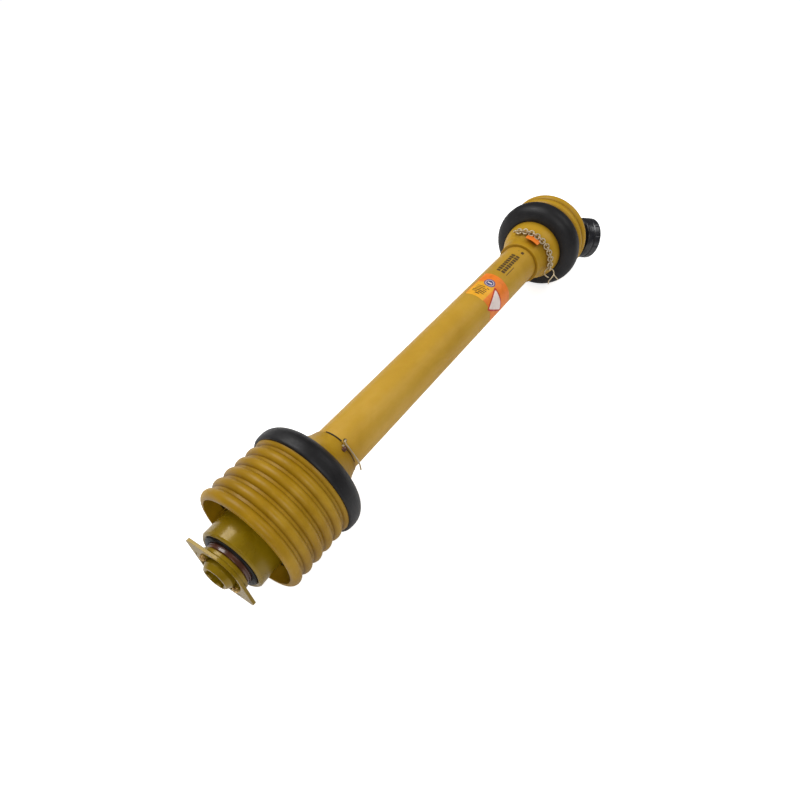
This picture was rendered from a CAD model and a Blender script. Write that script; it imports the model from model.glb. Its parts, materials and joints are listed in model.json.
# A drive shaft in its yellow guard, lying along +X from the near (implement side) cross
# joint to the far (tractor side) one, with cones, collars, chains, labels and wire hooks.
# Details are placed in cylindrical terms about the shaft: x in mm from the near joint,
# radius in mm from the axis, and an angle in degrees from +Y towards +Z.
import bpy, bmesh, math, json
from mathutils import Vector, Matrix


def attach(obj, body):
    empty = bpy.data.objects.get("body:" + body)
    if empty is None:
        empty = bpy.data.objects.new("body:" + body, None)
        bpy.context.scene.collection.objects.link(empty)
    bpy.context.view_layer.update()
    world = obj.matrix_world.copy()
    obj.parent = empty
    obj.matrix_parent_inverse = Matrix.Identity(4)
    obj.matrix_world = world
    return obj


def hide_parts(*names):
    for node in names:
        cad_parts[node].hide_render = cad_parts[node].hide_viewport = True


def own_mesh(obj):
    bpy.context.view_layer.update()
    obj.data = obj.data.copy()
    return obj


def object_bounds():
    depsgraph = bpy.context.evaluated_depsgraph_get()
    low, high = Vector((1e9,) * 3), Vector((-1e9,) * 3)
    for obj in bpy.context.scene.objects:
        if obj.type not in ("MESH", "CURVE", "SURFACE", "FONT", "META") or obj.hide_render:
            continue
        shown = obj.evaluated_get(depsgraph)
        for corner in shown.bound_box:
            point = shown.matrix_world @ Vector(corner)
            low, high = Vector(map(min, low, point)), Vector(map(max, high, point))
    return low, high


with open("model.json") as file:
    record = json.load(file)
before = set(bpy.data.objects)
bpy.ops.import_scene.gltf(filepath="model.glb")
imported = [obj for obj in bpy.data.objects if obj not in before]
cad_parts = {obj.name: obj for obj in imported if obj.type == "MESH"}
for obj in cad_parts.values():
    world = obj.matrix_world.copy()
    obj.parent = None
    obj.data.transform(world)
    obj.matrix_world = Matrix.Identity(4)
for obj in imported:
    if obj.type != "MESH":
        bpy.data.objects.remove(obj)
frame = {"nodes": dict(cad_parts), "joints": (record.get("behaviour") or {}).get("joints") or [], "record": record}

MM = 0.001
CAD_LO, CAD_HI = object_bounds()
joints = {joint["name"]: joint for joint in frame["joints"]}
NEAR_JOINT = Vector(joints["near_cross_swing"]["pos_m"])
FAR_JOINT = Vector(joints["far_cross_swing"]["pos_m"])
bpy.context.scene.view_settings.view_transform = "Standard"
bpy.context.scene.view_settings.look = "None"


# ---------------------------------------------------------------- colours and nodes
def srgb(*channels):
    """Linear RGBA from 0-255 sRGB channels."""
    def linear(c):
        c /= 255.0
        return c / 12.92 if c <= 0.04045 else ((c + 0.055) / 1.055) ** 2.4
    return (*map(linear, channels), 1.0)


def grey(value):
    return (value, value, value, 1)


def shade(color, gain, lift=0.0):
    """The colour times a gain (one number or one per channel), plus a lift."""
    gains = gain if isinstance(gain, tuple) else (gain,) * 3
    return (*(min(1, c * k + lift) for c, k in zip(color, gains)), 1)


class Graph:
    """Short calls for adding nodes to a tree. Lengths are in metres."""

    def __init__(self, tree):
        self.tree = tree

    def feed(self, node, inputs):
        """Link or set each input, by its name or number."""
        for key, value in inputs.items():
            if isinstance(value, bpy.types.NodeSocket):
                self.tree.links.new(value, node.inputs[key])
            else:
                node.inputs[key].default_value = value

    def node(self, kind, inputs={}, **settings):
        node = self.tree.nodes.new("ShaderNode" + kind)
        for key, value in settings.items():
            setattr(node, key, value)
        self.feed(node, inputs)
        return node

    def coords(self, scale=(1, 1, 1)):
        source = self.node("TexCoord").outputs["Object"]
        return self.node("Mapping", {"Scale": scale, "Vector": source}).outputs[0]

    def noise(self, vector, scale, detail=4.0, rough=0.55, distortion=0.0):
        return self.node("TexNoise", {
            "Scale": scale, "Detail": detail, "Roughness": rough,
            "Distortion": distortion, "Vector": vector}).outputs["Fac"]

    def ramp(self, factor, stops):
        """Colour ramp; stops maps positions to colours or grey levels."""
        node = self.node("ValToRGB", {0: factor})
        elements = node.color_ramp.elements
        while len(elements) < len(stops):
            elements.new(0.5)
        for element, (position, value) in zip(elements, stops.items()):
            element.position = position
            element.color = value if isinstance(value, tuple) else grey(value)
        return node.outputs[0]

    def mix(self, factor, a, b):
        return self.node("Mix", {0: factor, 6: a, 7: b}, data_type="RGBA").outputs[2]

    def calc(self, operation, a, b, clamp=False):
        return self.node("Math", {0: a, 1: b}, operation=operation, use_clamp=clamp).outputs[0]

    def bump(self, height, strength, distance, normal=None):
        inputs = {"Strength": strength, "Distance": distance, "Height": height}
        if normal is not None:
            inputs["Normal"] = normal
        return self.node("Bump", inputs).outputs[0]

    def rounded_normal(self, radius):
        return self.node("Bevel", {"Radius": radius}, samples=4).outputs[0]

    def edge_mask(self, normal):
        """1 where the rounded normal leaves the true one, along the sharp edges."""
        true_normal = self.node("NewGeometry").outputs["Normal"]
        match = self.node("VectorMath", {0: normal, 1: true_normal}, operation="DOT_PRODUCT")
        return self.ramp(match.outputs["Value"], {0.86: 1, 0.985: 0})

    def crevices(self, distance, full, none):
        """1 in grooves; full and none are the occlusion levels where the mask is 1 and 0."""
        occlusion = self.node("AmbientOcclusion", {"Distance": distance}, samples=6)
        return self.ramp(occlusion.outputs["AO"], {full: 1, none: 0})

    def along_shaft(self, start, end):
        """0 to 1 between two X positions."""
        split = self.node("SeparateXYZ", {0: self.node("TexCoord").outputs["Object"]})
        return self.node("MapRange", {
            "From Min": start, "From Max": end, "Value": split.outputs["X"]}).outputs[0]


def principled(name):
    """A new material, its graph and its shader node."""
    material = bpy.data.materials.new(name)
    material.use_nodes = True
    graph = Graph(material.node_tree)
    graph.tree.nodes.clear()
    output = graph.node("OutputMaterial")
    bsdf = graph.node("BsdfPrincipled")
    graph.feed(output, {0: bsdf.outputs[0]})
    return material, graph, bsdf


# ---------------------------------------------------------------- materials
def guard_plastic(name, base, dark, light, dirt, rough=0.42, lengthwise=False, far=None):
    """Moulded polyethylene: cloudy colour, fine skin, rub marks, dirt held in the grooves."""
    material, graph, bsdf = principled(name)
    surface = graph.coords()
    cloud = graph.noise(surface, scale=9.0, detail=5, rough=0.6, distortion=0.3)
    color = graph.ramp(cloud, {0.30: dark, 0.52: base, 0.74: light})
    if far is not None:
        # the end that has seen less oil and dust is paler
        color = graph.mix(graph.along_shaft(0.45, 0.95), color, graph.mix(0.75, color, far))
    speck = graph.noise(surface, scale=420.0, detail=3, rough=0.6)
    color = graph.mix(graph.ramp(speck, {0.60: 0, 0.78: 0.10}), color, shade(dark, 0.45))
    # long faint rub marks
    rub_coords = graph.coords((7, 160, 160) if lengthwise else (60, 14, 14))
    rub = graph.noise(rub_coords, scale=5.0, detail=5, rough=0.65, distortion=0.2)
    color = graph.mix(graph.ramp(rub, {0.62: 0, 0.80: 0.22}), color,
                      shade(light, 1.5, lift=0.03))
    grime = graph.calc("MULTIPLY", graph.crevices(0.018, full=0.25, none=0.95), dirt)
    color = graph.mix(grime, color, shade(dark, (0.36, 0.26, 0.12)))
    skin = graph.noise(surface, scale=900.0, detail=2, rough=0.5)
    wave_coords = graph.coords((4, 90, 90) if lengthwise else (1, 1, 1))
    waves = graph.noise(wave_coords, scale=22.0, detail=3, rough=0.5)
    normal = graph.rounded_normal(0.0008)
    normal = graph.bump(skin, strength=0.10, distance=0.0002, normal=normal)
    normal = graph.bump(waves, strength=0.35 if lengthwise else 0.30, distance=0.0006,
                        normal=normal)
    graph.feed(bsdf, {
        "Base Color": color,
        "Roughness": graph.ramp(rub, {0.25: rough - 0.07, 0.75: rough + 0.12}),
        "Specular IOR Level": 0.22,
        "Subsurface Weight": 0.06,
        "Subsurface Radius": (0.004, 0.002, 0.0006),
        "Normal": normal})
    return material


def rubber(name, base, light):
    """Black rubber with grey scuffs."""
    material, graph, bsdf = principled(name)
    surface = graph.coords()
    cloud = graph.noise(surface, scale=14.0, detail=6, rough=0.62, distortion=0.4)
    color = graph.ramp(cloud, {0.3: base, 0.75: light})
    scuff = graph.noise(graph.coords((30, 9, 9)), scale=8.0, detail=6, rough=0.7,
                        distortion=1.2)
    color = graph.mix(graph.ramp(scuff, {0.60: 0, 0.78: 0.22}), color, srgb(92, 90, 92))
    grain = graph.noise(surface, scale=700.0, detail=3, rough=0.6)
    normal = graph.bump(grain, strength=0.18, distance=0.0004)
    waves = graph.noise(surface, scale=26.0, detail=4, rough=0.5)
    normal = graph.bump(waves, strength=0.35, distance=0.0012, normal=normal)
    graph.feed(bsdf, {
        "Base Color": color,
        "Roughness": graph.ramp(scuff, {0.3: 0.38, 0.8: 0.60}),
        "Specular IOR Level": 0.3,
        "Normal": normal})
    return material


def paint(name, base, light, chip, rough, chips=0.55, coat=0.4, tint=None):
    """Thick gloss enamel, rubbed through on its edges; chips is how much, chip its colour."""
    material, graph, bsdf = principled(name)
    surface = graph.coords()
    cloud = graph.noise(surface, scale=26.0, detail=5, rough=0.6, distortion=0.4)
    color = graph.ramp(cloud, {0.32: base, 0.72: light})
    dirt = graph.crevices(0.012, full=0.2, none=0.9)
    color = graph.mix(graph.calc("MULTIPLY", dirt, 0.55), color,
                      shade(base, (0.25, 0.22, 0.2)))
    # wear: broken up along the edges that stand clear of the dirt
    breakup = graph.noise(surface, scale=190.0, detail=5, rough=0.7)
    normal = graph.rounded_normal(0.0007)
    clean = graph.calc("SUBTRACT", 1.0, dirt, clamp=True)
    wear = graph.calc("MULTIPLY", graph.edge_mask(normal), clean)
    wear = graph.calc("MULTIPLY", wear, graph.ramp(breakup, {0.44: 0, 0.60: 1}))
    wear = graph.calc("MULTIPLY", wear, chips)
    color = graph.mix(wear, color, chip)
    spots = graph.noise(surface, scale=75.0, detail=6, rough=0.72)
    spots = graph.calc("MULTIPLY", graph.ramp(spots, {0.70: 0, 0.735: 0.6}), chips)
    color = graph.mix(spots, color, chip)
    gloss = graph.ramp(cloud, {0.3: rough, 0.8: rough + 0.16})
    fine = graph.noise(surface, scale=320.0, detail=3, rough=0.5)
    normal = graph.bump(fine, strength=0.125, distance=0.0004, normal=normal)
    peel = graph.noise(surface, scale=45.0, detail=4, rough=0.55)
    normal = graph.bump(peel, strength=0.25, distance=0.0016, normal=normal)
    film = graph.calc("SUBTRACT", 1.0, wear)
    graph.feed(bsdf, {
        "Base Color": color,
        "Roughness": graph.mix(wear, gloss, grey(0.5)),
        "Coat Weight": coat,
        "Coat Roughness": 0.12,
        "Normal": graph.bump(film, strength=0.4, distance=0.0003, normal=normal)})
    if tint:
        graph.feed(bsdf, {"Specular Tint": tint, "Coat Tint": tint})
    return material


def steel(name, base, rough, grain, stain=None):
    """Bare or plated metal; grain stretches the streaks, stain is the blotch colour."""
    material, graph, bsdf = principled(name)
    surface = graph.coords()
    streaks = graph.noise(graph.coords(grain), scale=60.0, detail=5, rough=0.7)
    color = graph.ramp(streaks, {0.3: shade(base, 0.72), 0.7: base})
    blotch = graph.noise(surface, scale=38.0, detail=5, rough=0.65, distortion=0.6)
    color = graph.mix(graph.ramp(blotch, {0.52: 0, 0.72: 0.5}), color,
                      stain or shade(base, 0.5))
    normal = graph.rounded_normal(0.0004)
    normal = graph.bump(streaks, strength=0.12, distance=0.0003, normal=normal)
    pits = graph.noise(surface, scale=240.0, detail=3, rough=0.6)
    graph.feed(bsdf, {
        "Base Color": color,
        "Metallic": 1.0,
        "Roughness": graph.ramp(blotch, {0.3: rough, 0.8: rough + 0.28}),
        "Normal": graph.bump(pits, strength=0.15, distance=0.0003, normal=normal)})
    return material


def sheet(name, base, rough):
    """Printed film: slight ink mottling and rubbed gloss."""
    material, graph, bsdf = principled(name)
    surface = graph.coords()
    ink = graph.noise(surface, scale=60.0, detail=5, rough=0.6)
    rub = graph.noise(surface, scale=150.0, detail=4, rough=0.7)
    grain = graph.noise(surface, scale=300.0, detail=3, rough=0.6)
    graph.feed(bsdf, {
        "Base Color": graph.ramp(ink, {
            0.3: shade(base, 0.82), 0.5: base, 0.75: shade(base, 1.12, lift=0.01)}),
        "Roughness": graph.ramp(rub, {0.3: rough, 0.8: rough + 0.25}),
        "Normal": graph.bump(grain, strength=0.15, distance=0.0002)})
    return material


LOOKS = {
    "guard_yellow": (guard_plastic, dict(
        base=srgb(164, 124, 10), dark=srgb(142, 106, 5), light=srgb(190, 150, 42),
        far=srgb(196, 152, 36), rough=0.38, dirt=0.85)),
    "guard_tube_yellow": (guard_plastic, dict(
        base=srgb(196, 153, 50), dark=srgb(184, 141, 38), light=srgb(206, 164, 70),
        lengthwise=True, rough=0.38, dirt=0.35)),
    "ring_black": (rubber, dict(base=srgb(20, 19, 20), light=srgb(38, 37, 39))),
    "olive_paint": (paint, dict(
        base=srgb(122, 98, 3), light=srgb(144, 119, 10), chip=srgb(212, 168, 96),
        rough=0.22, coat=0.15, tint=(1.0, 0.80, 0.42, 1))),
    "black_paint": (paint, dict(
        base=srgb(22, 22, 24), light=srgb(36, 35, 38), chip=srgb(104, 100, 96),
        rough=0.24, chips=0.4)),
    "collar_black": (paint, dict(
        base=srgb(22, 22, 26), light=srgb(36, 36, 42), chip=srgb(92, 92, 96),
        rough=0.22, chips=0.35, coat=0.3)),
    "steel_bare": (steel, dict(base=srgb(176, 172, 164), rough=0.32, grain=(2, 30, 30))),
    "steel_dark": (steel, dict(base=srgb(86, 80, 74), rough=0.42, grain=(10, 10, 10))),
    "brown_composite": (paint, dict(
        base=srgb(76, 40, 24), light=srgb(104, 58, 36), chip=srgb(128, 84, 56),
        rough=0.24, chips=0.3, coat=0.5)),
    "seal_rubber": (rubber, dict(base=srgb(12, 12, 13), light=srgb(24, 23, 24))),
    "nylon": (guard_plastic, dict(
        base=srgb(206, 200, 184), dark=srgb(188, 180, 160), light=srgb(222, 216, 200),
        dirt=0.6)),
    "zinc_wire": (steel, dict(
        base=srgb(232, 216, 184), rough=0.42, grain=(40, 40, 40), stain=srgb(206, 176, 128))),
    "yellow_zinc": (steel, dict(
        base=srgb(222, 186, 120), rough=0.34, grain=(20, 20, 20), stain=srgb(190, 146, 84))),
    "label_orange": (sheet, dict(base=srgb(244, 128, 26), rough=0.35)),
    "label_amber": (sheet, dict(base=srgb(240, 172, 30), rough=0.4)),
    "label_white": (sheet, dict(base=srgb(240, 224, 218), rough=0.4)),
    "label_red": (sheet, dict(base=srgb(196, 52, 34), rough=0.4)),
    "label_blue": (sheet, dict(base=srgb(78, 78, 128), rough=0.4)),
    "print_dark": (sheet, dict(base=srgb(84, 62, 22), rough=0.5)),
}
MATERIALS = {name: maker(name, **look) for name, (maker, look) in LOOKS.items()}

slot_of = {part["node"]: part["material_slot"] for part in frame["record"]["subparts"]}
for name, node in frame["nodes"].items():
    node.data.materials.clear()
    look = "yellow_zinc" if name == "plate_screws" else slot_of[name]
    node.data.materials.append(MATERIALS[look])


# ---------------------------------------------------------------- mesh helpers
def outward(angle):
    """Unit vector away from the shaft axis."""
    turn = math.radians(angle)
    return Vector((0, math.cos(turn), math.sin(turn)))


def point(x, radius, angle):
    return NEAR_JOINT + Vector((x * MM, 0, 0)) + outward(angle) * (radius * MM)


def add_object(name, mesh, body, slot, look=None, crease=40):
    obj = bpy.data.objects.new(name, mesh)
    bpy.context.scene.collection.objects.link(obj)
    mesh.materials.append(MATERIALS[look or slot])
    mesh.polygons.foreach_set("use_smooth", [True] * len(mesh.polygons))
    mesh.set_sharp_from_angle(angle=math.radians(crease))
    mesh.update()
    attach(obj, body)
    return obj


def mesh_from(name, verts, faces):
    mesh = bpy.data.meshes.new(name)
    mesh.from_pydata([tuple(v) for v in verts], [], faces)
    mesh.update()
    return mesh


def face_outward(obj):
    bm = bmesh.new()
    bm.from_mesh(obj.data)
    bmesh.ops.recalc_face_normals(bm, faces=bm.faces[:])
    bm.to_mesh(obj.data)
    bm.free()


def band_faces(rings, sides, closed=False):
    """Quads between successive rings of vertices."""
    faces = []
    for i in range(rings if closed else rings - 1):
        a, b = i * sides, (i + 1) % rings * sides
        for k in range(sides):
            following = (k + 1) % sides
            faces.append((a + k, a + following, b + following, b + k))
    return faces


def end_faces(rings, sides):
    """Caps on the first and the last ring."""
    return (tuple(range(sides - 1, -1, -1)),
            tuple(range((rings - 1) * sides, rings * sides)))


def wire(name, path, radii, body, slot, sides, closed=False):
    """Round wire through a list of points in metres; one radius in mm, or one per point."""
    count = len(path)
    if not isinstance(radii, list):
        radii = [radii] * count
    verts = []
    up = None
    for i, (centre, radius) in enumerate(zip(path, radii)):
        before = path[(i - 1) % count] if closed or i > 0 else centre
        after = path[(i + 1) % count] if closed or i < count - 1 else centre
        tangent = (after - before).normalized()
        if up is None:
            up = tangent.orthogonal().normalized()
        up = (up - tangent * up.dot(tangent)).normalized()
        side = tangent.cross(up)
        for k in range(sides):
            turn = 2 * math.pi * k / sides
            verts.append(centre + (up * math.cos(turn) + side * math.sin(turn)) * (radius * MM))
    faces = band_faces(count, sides, closed)
    if not closed:
        faces += end_faces(count, sides)
    return add_object(name, mesh_from(name, verts, faces), body, slot, crease=60)


def wire_ring(name, x, radius, angle, half_x, half_radius, steps, thickness, sides):
    """Closed zinc loop lying in a plane through the shaft axis; thickness is the wire radius."""
    turns = [2 * math.pi * k / steps for k in range(steps)]
    path = [point(x + half_x * math.cos(t), radius + half_radius * math.sin(t), angle)
            for t in turns]
    body = "guard_near" if name == "hook_eyelet" else "guard_far"
    wire(name, path, thickness, body, "zinc_wire", sides, closed=True)


def patch(name, outline, x, angle, radius, thickness, body, slot, look=None):
    """Thin sheet wrapped round the shaft: outline in mm (along X, along the arc)."""
    strip = 1.2
    bm = bmesh.new()
    bm.faces.new([bm.verts.new((u, v, 0)) for u, v in outline])
    cut = min(v for _, v in outline) + strip
    end = max(v for _, v in outline)
    while cut < end:
        bmesh.ops.bisect_plane(bm, geom=bm.verts[:] + bm.edges[:] + bm.faces[:],
                               plane_co=(0, cut, 0), plane_no=(0, 1, 0))
        cut += strip
    bmesh.ops.recalc_face_normals(bm, faces=bm.faces[:])
    faces = bm.faces[:]
    if faces[0].normal.z < 0:
        bmesh.ops.reverse_faces(bm, faces=faces)
    for vert in bm.verts:
        u, v = vert.co.x, vert.co.y
        vert.co = point(x + u, radius, angle + math.degrees(v / radius))
    # turn the wrapped sheet away from the axis before it is thickened
    faces[0].normal_update()
    middle = faces[0].calc_center_median() - NEAR_JOINT
    middle.x = 0
    if faces[0].normal.dot(middle) < 0:
        bmesh.ops.reverse_faces(bm, faces=faces)
    extruded = bmesh.ops.extrude_face_region(bm, geom=bm.faces[:])["geom"]
    for vert in [e for e in extruded if isinstance(e, bmesh.types.BMVert)]:
        direction = vert.co - NEAR_JOINT
        direction.x = 0
        vert.co += direction.normalized() * (thickness * MM)
    bmesh.ops.recalc_face_normals(bm, faces=bm.faces[:])
    mesh = bpy.data.meshes.new(name)
    bm.to_mesh(mesh)
    bm.free()
    add_object(name, mesh, body, slot, look, crease=35)


def rounded(width, height, corner, steps=5):
    """Rectangle outline with rounded corners."""
    outline = []
    half_x, half_y = width / 2 - corner, height / 2 - corner
    for quarter, (sx, sy) in enumerate(((1, 1), (-1, 1), (-1, -1), (1, -1))):
        for i in range(steps + 1):
            turn = math.radians(90 * quarter + 90 * i / steps)
            outline.append((sx * half_x + corner * math.cos(turn),
                            sy * half_y + corner * math.sin(turn)))
    return outline


def film(name, outline, x, angle, radius, thickness, look):
    """Patch carried by the far guard."""
    patch(name, outline, x, angle, radius, thickness, "guard_far", "guard_tube_yellow", look)


def bar(name, x, angle, width, height, radius, look="print_dark", thickness=0.05, corner=0.4):
    corner = min(corner, 0.49 * width, 0.49 * height)
    film(name, rounded(width, height, corner, 3), x, angle, radius, thickness, look)


def lug(name, x, angle, width, height, foot, top, slot, taper=0.8):
    """Lug standing on a round surface from radius foot to top, drawn in at the top."""
    rise = top - foot
    # radius, scale of the outline
    levels = [(foot, 1.0), (foot + rise * 0.72, 0.5 + taper / 2),
              (foot + rise * 0.93, taper), (top, taper * 0.82)]
    verts = []
    for radius, scale in levels:
        corner = min(width, height) * scale * 0.32
        for u, v in rounded(width * scale, height * scale, corner, 3):
            verts.append(point(x + u, radius, angle + math.degrees(v / foot)))
    rings = len(levels)
    sides = len(verts) // rings
    faces = band_faces(rings, sides) + list(reversed(end_faces(rings, sides)))
    face_outward(add_object(name, mesh_from(name, verts, faces), "guard_near", slot))


# ---------------------------------------------------------------- camera
right = Vector((0.5748, -0.8183, 0.0)).normalized()
forward = Vector((0.5513, 0.3873, -0.7391)).normalized()
camera_data = bpy.data.cameras.new("camera")
camera = bpy.data.objects.new("camera", camera_data)
bpy.context.scene.collection.objects.link(camera)
turned = Matrix((right, right.cross(forward), -forward)).transposed().to_4x4()
camera_place = NEAR_JOINT + Vector((-243.2, -376.0, 678.6)) * MM
camera.matrix_world = Matrix.Translation(camera_place) @ turned
camera_data.sensor_width = 36.0
camera_data.lens = 24.36345
camera_data.clip_start = 0.01
camera_data.clip_end = 50
bpy.context.scene.camera = camera


# ---------------------------------------------------------------- floor and light
def add_floor(half=9, gap=0.0005):
    """White paper just below the lowest point, lit up a little more for the camera."""
    z = CAD_LO.z - gap
    corners = [(-half, -half, z), (half, -half, z), (half, half, z), (-half, half, z)]
    mesh = bpy.data.meshes.new("floor")
    mesh.from_pydata(corners, [], [(0, 1, 2, 3)])
    floor = bpy.data.objects.new("floor", mesh)
    bpy.context.scene.collection.objects.link(floor)
    material, graph, bsdf = principled("floor_paper")
    seen = graph.node("LightPath").outputs["Is Camera Ray"]
    graph.feed(bsdf, {
        "Base Color": grey(0.86),
        "Roughness": 0.9,
        "Specular IOR Level": 0.1,
        "Emission Color": grey(1),
        "Emission Strength": graph.calc("ADD", graph.calc("MULTIPLY", seen, 0.64), 0.10)})
    mesh.materials.append(material)


def add_world():
    """A room dimmer in reflections than the light it gives, and white behind the object."""
    world = bpy.data.worlds.new("world")
    world.use_nodes = True
    graph = Graph(world.node_tree)
    rays = graph.node("LightPath").outputs
    dimming = graph.calc("MULTIPLY", rays["Is Glossy Ray"], 0.20)
    room = graph.calc("SUBTRACT", 0.31, dimming)
    backdrop = graph.calc("MULTIPLY", rays["Is Camera Ray"], 0.69)
    graph.feed(world.node_tree.nodes["Background"],
               {0: grey(1), 1: graph.calc("ADD", room, backdrop)})
    bpy.context.scene.world = world


add_floor()
add_world()

middle = (NEAR_JOINT + FAR_JOINT) / 2
# name, place and target from mid shaft in metres, size in metres, power in watts
for name, place, target, size, power in (
        ("key", (-0.25, 1.15, 1.75), (0, 0, 0), 1.1, 27),
        ("front", (-1.3, -1.0, 1.6), (-0.3, 0, 0), 0.7, 12),
        ("end", (1.2, -0.9, 1.5), (0.3, 0, 0), 0.9, 7)):
    light = bpy.data.lights.new(name, "AREA")
    light.energy = power
    light.size = size
    lamp = bpy.data.objects.new(name, light)
    bpy.context.scene.collection.objects.link(lamp)
    lamp.location = middle + Vector(place)
    aim = (middle + Vector(target)) - (middle + Vector(place))
    lamp.rotation_mode = "QUATERNION"
    lamp.rotation_quaternion = aim.to_track_quat("-Z", "Y")

# ---------------------------------------------------------------- safety label
# its sign and wording are left blank
LABEL = (583.0, 129.0)  # x, angle of the centre
ROUNDEL = (594, 99)
film("label_film", rounded(80, 96, 4), *LABEL, 40.02, 0.14, "label_orange")
film("label_panel", rounded(50, 40, 2), 566, 92, 40.12, 0.08, "label_amber")
# name ending, diameter, corner, corner steps, radius, thickness, look
for ending, size, corner, steps, radius, thickness, look in (
        ("", 23, 11.4, 12, 40.12, 0.10, "label_blue"),
        ("_field", 18, 8.9, 10, 40.20, 0.05, "label_white"),
        ("_hub", 15.6, 7.7, 10, 40.23, 0.05, "label_blue")):
    film("label_roundel" + ending, rounded(size, size, corner, steps), *ROUNDEL,
         radius, thickness, look)
bar("label_roundel_bar", *ROUNDEL, 3.4, 9.5, 40.26, "label_white")
# x, angle, width, height
LABEL_RULES = [
    (556, 80, 2.0, 11), (556, 100, 2.0, 13), (561, 90, 2.4, 26),
    (566, 84, 1.8, 14), (566, 104, 1.8, 9), (571, 90, 1.8, 24),
    (576, 86, 1.8, 17), (551, 92, 3.0, 9), (576, 108, 1.8, 5)]
for i, rule in enumerate(LABEL_RULES):
    bar(f"label_rule_{i + 1}", *rule, 40.16, thickness=0.07)


def round_poly(corners, radius, steps=5):
    """Polygon outline with its corners rounded."""
    outline = []
    for i in range(len(corners)):
        before, corner, after = (Vector(corners[(i + k) % len(corners)]) for k in (-1, 0, 1))
        back, ahead = (before - corner).normalized(), (after - corner).normalized()
        half = back.angle(ahead) / 2
        centre = corner + (back + ahead).normalized() * (radius / math.sin(half))
        reach = radius / math.tan(half)
        start = corner + back * reach - centre
        end = corner + ahead * reach - centre
        for k in range(steps + 1):
            place = start.lerp(end, k / steps).normalized() * radius + centre
            outline.append((place.x, place.y))
    return outline


def shrunk(corners, scale):
    """Polygon scaled about the mean of its corners."""
    cx, cy = (sum(values) / len(corners) for values in zip(*corners))
    return [(cx + (x - cx) * scale, cy + (y - cy) * scale) for x, y in corners]


# triangular sign: corners in mm from the label centre (along X, along the arc).
# Each corner is paired with the one before it and the one after.
SIGN = [(-48, 14.7), (3, 44.8), (10, -9.1)]


def sign_outline(corners, radius):
    """Rounded outline that starts at the sign's second corner's predecessor."""
    return round_poly(corners, radius)


film("sign_border", sign_outline(SIGN, 3), *LABEL, 40.12, 0.10, "label_red")
film("sign_field", sign_outline(shrunk(SIGN, 0.80), 2), *LABEL, 40.20, 0.05, "label_white")

# ---------------------------------------------------------------- stamp on the tube
STAMP_COLUMNS, STAMP_START, STAMP_PITCH = 9, 644.5, 8.1
STAMP_RADIUS = 40.01
# angle, usual height, every how many bars the height differs, that height
STAMP_ROWS = [(89, 9.0, 3, 8.0), (104, 8.0, 4, 9.2)]
for i in range(len(STAMP_ROWS) * STAMP_COLUMNS):
    row, column = divmod(i, STAMP_COLUMNS)
    angle, usual, every, other = STAMP_ROWS[row]
    bar(f"stamp_{i + 1}", STAMP_START + STAMP_PITCH * column, angle, 6.4,
        usual if i % every else other, STAMP_RADIUS)
bar("stamp_line", 658, 118, 34, 1.3, STAMP_RADIUS)
bar("stamp_dot", 729, 106, 8, 6.4, STAMP_RADIUS, corner=1.8)
bar("stamp_dot_small", 731, 92, 3, 1.4, STAMP_RADIUS)

# ---------------------------------------------------------------- tractor side chain
# tag folded over the restraint chain, with its two staples
film("chain_tag", rounded(14.5, 31, 2.4), 767.0, 105, 56.0, 0.9, "label_orange")
for i, angle in enumerate((91, 118)):
    wire_ring(f"chain_tag_staple_{i + 1}", 773.8, 58.4, angle, half_x=4.9, half_radius=3.4,
              steps=28, thickness=0.55, sides=8)

# second, open leg of the hook: mm along two directions from the hook's origin
hook_origin = point(777, 60.5, 187.9) + Vector((-2.37, -0.1, 0.3)) * MM
hook_level, hook_down = Vector((0.575, -0.818, 0)), Vector((-0.605, -0.425, -0.674))
HOOK_LEG = [(11.0, 9.0), (12.4, 11.4), (14.2, 14.4), (16.6, 17.4), (19.0, 20.2), (21.4, 22.9)]
path = [hook_origin + hook_level * (a * MM) + hook_down * (d * MM) for a, d in HOOK_LEG]
wire("hook_leg", path, [1.2] * 5 + [0.8], "chain_hook_far", "zinc_wire", sides=12)

# ---------------------------------------------------------------- implement side collar
wire_ring("hook_eyelet", 118, 45.2, 119, half_x=3.1, half_radius=3.1,
          steps=32, thickness=0.75, sides=10)
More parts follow.
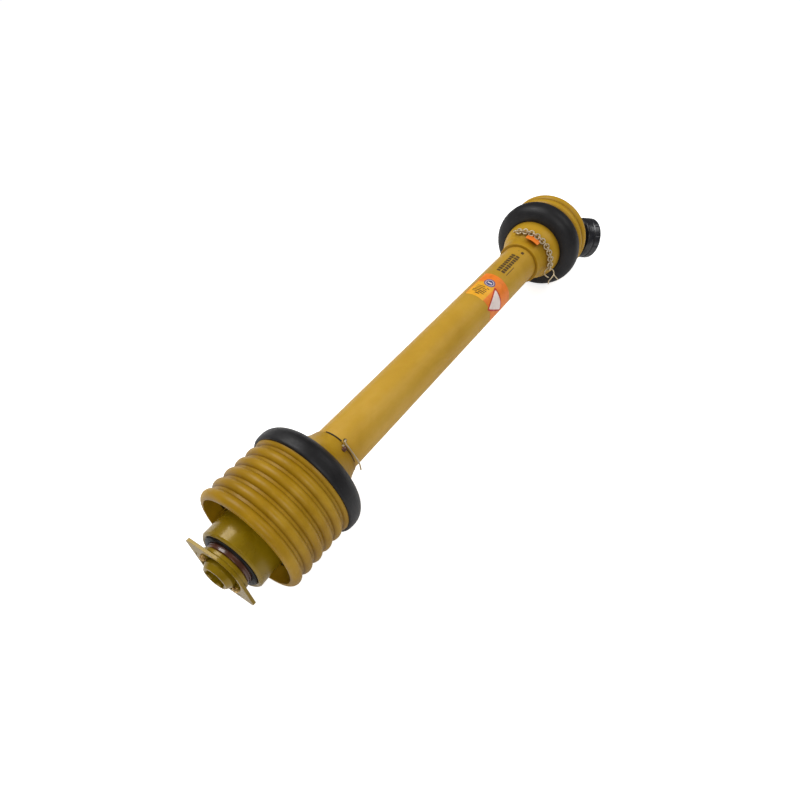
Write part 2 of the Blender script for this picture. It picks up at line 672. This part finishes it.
# name, outline, x, angle, radius, thickness, body
for row in (
        ("hook_hole_liner", rounded(5.6, 5.2, 2.5, 7), 121.8, 117.6, 40.02, 0.35, "guard_far"),
        ("collar_slit", rounded(1.9, 32, 0.9), 117.0, 91, 40.02, 0.2, "guard_far"),
        ("collar_groove", rounded(1.0, 28, 0.45), 112.6, 149, 42.5, 0.25, "guard_near")):
    patch(*row, "seal_rubber")
lug("collar_latch", 108.6, 128.6, 9, 6.5, 42.4, 46.6, "brown_composite")
lug("collar_latch_knob", 111.2, 122.6, 4.2, 4.2, 41.8, 45.6, "zinc_wire", taper=0.7)


# ---------------------------------------------------------------- cones
def cone_ridge(name, x0, x1, angle, body, foot=81.0, crest=78.4, end_crest=80.35, steps=8):
    """Stiffening ridge inside a cone; its crest stands towards the axis."""
    verts = []
    for k in range(steps + 1):
        x = x0 + (x1 - x0) * k / steps
        top = end_crest if k in (0, steps) else crest
        # radius, half width
        for radius, width in ((foot, 1.5), (top, 1.0), (top, -1.0), (foot, -1.5)):
            verts.append(point(x, radius, angle + math.degrees(width / 80)))
    faces = band_faces(steps + 1, 4) + list(end_faces(steps + 1, 4))
    mesh = mesh_from(name, verts, faces)
    face_outward(add_object(name, mesh, body, "guard_yellow", crease=30))


for side, x0, x1 in (("near", -62, 30), ("far", 858, 881)):
    for i in range(12):
        cone_ridge(f"cone_ridge_{side}_{i + 1}", x0, x1, 15 + 30 * i, f"guard_{side}")


# ---------------------------------------------------------------- collar spring
def collar_spring():
    """Coil in place of the CAD one, that shortens when the collar is pulled."""
    coil_radius, start, length, turns, steps = 26.6, 77.1, 12.0, 3.0, 120
    flat, rising = 0.4, 2.2  # turns before the coil climbs, and turns it climbs for
    axis = -Vector(joints["collar_pull"]["axis"]).normalized()
    across = axis.orthogonal().normalized()
    other = axis.cross(across)
    path = []
    for k in range(steps + 1):
        turn = turns * k / steps
        z = start + length * min(1.0, max(0.0, (turn - flat) / rising))
        a = 2 * math.pi * turn
        spoke = across * math.cos(a) + other * math.sin(a)
        path.append(FAR_JOINT + axis * (z * MM) + spoke * (coil_radius * MM))
    spring = wire("collar_spring_coil", path, 1.28, "yoke_far", "steel_dark", sides=12)
    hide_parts("collar_spring")
    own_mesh(spring)


collar_spring()
